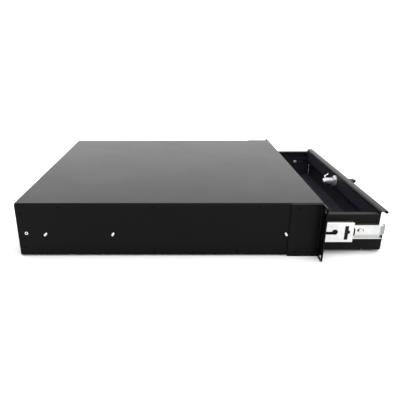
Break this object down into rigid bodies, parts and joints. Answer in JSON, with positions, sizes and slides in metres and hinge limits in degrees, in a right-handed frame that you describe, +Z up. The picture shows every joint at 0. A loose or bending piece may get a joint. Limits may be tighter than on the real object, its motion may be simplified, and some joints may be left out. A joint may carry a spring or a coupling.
{
  "type": "rack-mount locking drawer",
  "caption": "Low black steel case with rack ears whose locking drawer slides out at the front on ball-bearing slides, for tools or cables.",
  "frame": {"origin": "middle of the rack ears' hole pattern, on the ears' front plane", "axes": "+X right as seen from the front, +Y to the rear of the case, +Z up"},
  "size_m": [0.4826, 0.6066, 0.0885],
  "materials": {
    "black_powder_coat": "fine-textured satin powder coat",
    "black_powder_coat_drawer": "fine-textured satin powder coat",
    "black_oxide_steel": "black oxide",
    "zinc_screw_steel": "bright zinc plate",
    "zinc_plated_steel": "bright zinc plate",
    "cage_steel": "plain strip",
    "ball_steel": "polished",
    "black_plastic": "moulded",
    "black_rubber": "matt",
    "lock_chrome": "polished plate",
    "lock_brass_plated": "plated brass",
    "cam_steel": "zinc plate",
    "key_nickel": "nickel plate",
    "key_plastic": "moulded"
  },
  "bodies": {
    "case": {"left_side_panel": "black_powder_coat", "right_side_panel": "black_powder_coat", "top_cover": "black_powder_coat", "bottom_panel": "black_powder_coat", "rear_panel": "black_powder_coat", "front_header": "black_powder_coat", "left_rack_ear": "black_powder_coat", "right_rack_ear": "black_powder_coat", "cover_screws": "black_oxide_steel", "bottom_screws": "black_oxide_steel", "rear_panel_screws": "black_oxide_steel", "ear_screws": "black_oxide_steel", "slide_case_studs": "zinc_screw_steel", "rear_support_nuts": "zinc_screw_steel", "left_cabinet_member": "zinc_plated_steel", "right_cabinet_member": "zinc_plated_steel", "left_rear_stop": "black_rubber", "right_rear_stop": "black_rubber"},
    "drawer": {"drawer_tray": "black_powder_coat_drawer", "drawer_front": "black_powder_coat_drawer", "drawer_back": "black_powder_coat_drawer", "drawer_rivets": "black_oxide_steel", "drawer_slide_screws": "zinc_screw_steel", "drawer_slide_nuts": "zinc_screw_steel", "left_drawer_member": "zinc_plated_steel", "right_drawer_member": "zinc_plated_steel", "lock_body": "lock_chrome", "lock_nut": "lock_chrome", "lock_washer": "lock_chrome"},
    "lock_cylinder": {"lock_plug": "lock_brass_plated", "lock_cam": "cam_steel", "cam_screw": "cam_steel"},
    "key": {"key_blade": "key_nickel", "key_bow": "key_plastic"},
    "left_intermediate": {"left_intermediate_member": "zinc_plated_steel", "left_bumper_clip": "black_plastic"},
    "left_outer_cage": {"left_outer_ball_cage": "cage_steel", "left_outer_balls": "ball_steel"},
    "left_inner_cage": {"left_inner_ball_cage": "cage_steel", "left_inner_balls": "ball_steel"},
    "left_lever": {"left_release_lever": "black_plastic"},
    "right_intermediate": {"right_intermediate_member": "zinc_plated_steel", "right_bumper_clip": "black_plastic"},
    "right_outer_cage": {"right_outer_ball_cage": "cage_steel", "right_outer_balls": "ball_steel"},
    "right_inner_cage": {"right_inner_ball_cage": "cage_steel", "right_inner_balls": "ball_steel"},
    "right_lever": {"right_release_lever": "black_plastic"}
  },
  "joints": [
    {"name": "drawer_slide", "type": "slide", "parent": "case", "child": "drawer", "axis": [0, -1, 0], "range_m": [-0.1048, 0.2952]},
    {"name": "lock_turn", "type": "hinge", "parent": "drawer", "child": "lock_cylinder", "pos_m": [0, -0.085, 0.0092], "axis": [0, -1, 0], "range_deg": [-33, 57]},
    {"name": "key_withdrawal", "type": "slide", "parent": "lock_cylinder", "child": "key", "axis": [0, -1, 0], "range_m": [0, 0.03]},
    {"name": "left_intermediate_slide", "type": "slide", "parent": "case", "child": "left_intermediate", "axis": [0, -1, 0], "range_m": [-0.0524, 0.1476]},
    {"name": "left_outer_cage_slide", "type": "slide", "parent": "case", "child": "left_outer_cage", "axis": [0, -1, 0], "range_m": [-0.0262, 0.0738]},
    {"name": "left_inner_cage_slide", "type": "slide", "parent": "case", "child": "left_inner_cage", "axis": [0, -1, 0], "range_m": [-0.0786, 0.2214]},
    {"name": "left_lever_tilt", "type": "hinge", "parent": "drawer", "child": "left_lever", "pos_m": [-0.2064, -0.008, -0.006], "axis": [1, 0, 0], "range_deg": [-5, 5], "stiffness_Nm_per_rad": 0.05},
    {"name": "right_intermediate_slide", "type": "slide", "parent": "case", "child": "right_intermediate", "axis": [0, -1, 0], "range_m": [-0.0524, 0.1476]},
    {"name": "right_outer_cage_slide", "type": "slide", "parent": "case", "child": "right_outer_cage", "axis": [0, -1, 0], "range_m": [-0.0262, 0.0738]},
    {"name": "right_inner_cage_slide", "type": "slide", "parent": "case", "child": "right_inner_cage", "axis": [0, -1, 0], "range_m": [-0.0786, 0.2214]},
    {"name": "right_lever_tilt", "type": "hinge", "parent": "drawer", "child": "right_lever", "pos_m": [0.2064, -0.008, -0.006], "axis": [1, 0, 0], "range_deg": [-5, 5], "stiffness_Nm_per_rad": 0.05}
  ],
  "couplings": [
    {"joint": "left_intermediate_slide", "follows": "drawer_slide", "ratio": 0.5},
    {"joint": "left_outer_cage_slide", "follows": "drawer_slide", "ratio": 0.25},
    {"joint": "left_inner_cage_slide", "follows": "drawer_slide", "ratio": 0.75},
    {"joint": "right_intermediate_slide", "follows": "drawer_slide", "ratio": 0.5},
    {"joint": "right_outer_cage_slide", "follows": "drawer_slide", "ratio": 0.25},
    {"joint": "right_inner_cage_slide", "follows": "drawer_slide", "ratio": 0.75}
  ]
}
